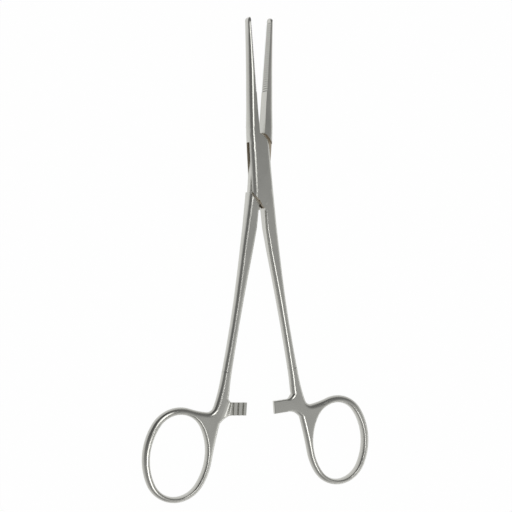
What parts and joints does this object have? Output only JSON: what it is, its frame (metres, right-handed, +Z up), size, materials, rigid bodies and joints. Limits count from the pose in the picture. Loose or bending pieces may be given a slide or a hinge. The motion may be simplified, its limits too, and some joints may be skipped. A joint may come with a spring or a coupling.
{
  "type": "hemostat forceps",
  "caption": "Straight locking forceps with a box lock, serrated jaws, a toothed ratchet and oval finger rings.",
  "frame": {"origin": "on the underside of the box lock, on the axis of the pivot pin, with the forceps lying flat", "axes": "+Y towards the jaw tips, +X towards the finger ring of the box half, +Z up along the pivot pin"},
  "size_m": [0.0934, 0.1777, 0.006],
  "materials": {
    "satin_steel": "satin"
  },
  "bodies": {
    "box_side": {"box_half": "satin_steel", "pivot_pin": "satin_steel"},
    "tongue_side": {"tongue_half": "satin_steel"}
  },
  "joints": [
    {"name": "lock_pivot", "type": "hinge", "parent": "box_side", "child": "tongue_side", "pos_m": [0, 0, 0.003], "axis": [0, 0, -1], "range_deg": [-8.2, 52]}
  ]
}
